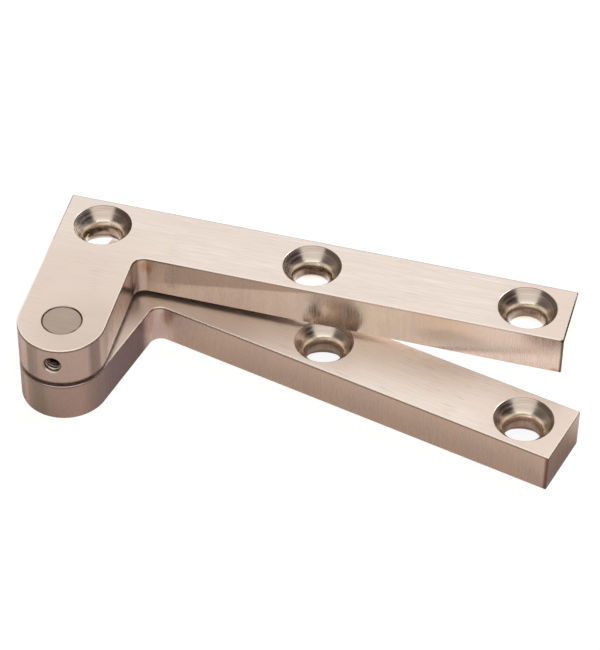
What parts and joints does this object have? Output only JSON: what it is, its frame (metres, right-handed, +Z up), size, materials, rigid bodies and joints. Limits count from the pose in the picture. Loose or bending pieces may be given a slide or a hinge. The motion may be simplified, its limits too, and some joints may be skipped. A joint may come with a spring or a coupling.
{
  "type": "pivot hinge",
  "caption": "Cranked pivot hinge: stacked flat leaves joined by a flush pin, with double-countersunk screw holes and a side locking screw.",
  "frame": {"origin": "on the pivot axis, at the plane of the lower leaf's underside", "axes": "+Z up along the pivot axis, +X along the lower leaf's arm from heel to toe, +Y from the pivot towards the arm"},
  "size_m": [0.129, 0.0748, 0.021],
  "materials": {
    "leaf_metal": "satin",
    "bush_bronze": "satin",
    "washer_steel": "satin",
    "pin_steel": "satin",
    "grub_steel": "satin"
  },
  "bodies": {
    "lower_half": {"lower_leaf": "leaf_metal", "pivot_bush": "bush_bronze", "thrust_washer": "washer_steel"},
    "upper_half": {"upper_leaf": "leaf_metal", "pivot_pin": "pin_steel", "grub_screw": "grub_steel"}
  },
  "joints": [
    {"name": "pivot", "type": "hinge", "parent": "lower_half", "child": "upper_half", "pos_m": [0, 0, 0.01065], "axis": [0, 0, 1], "range_deg": [-13.3, 166.7]}
  ]
}
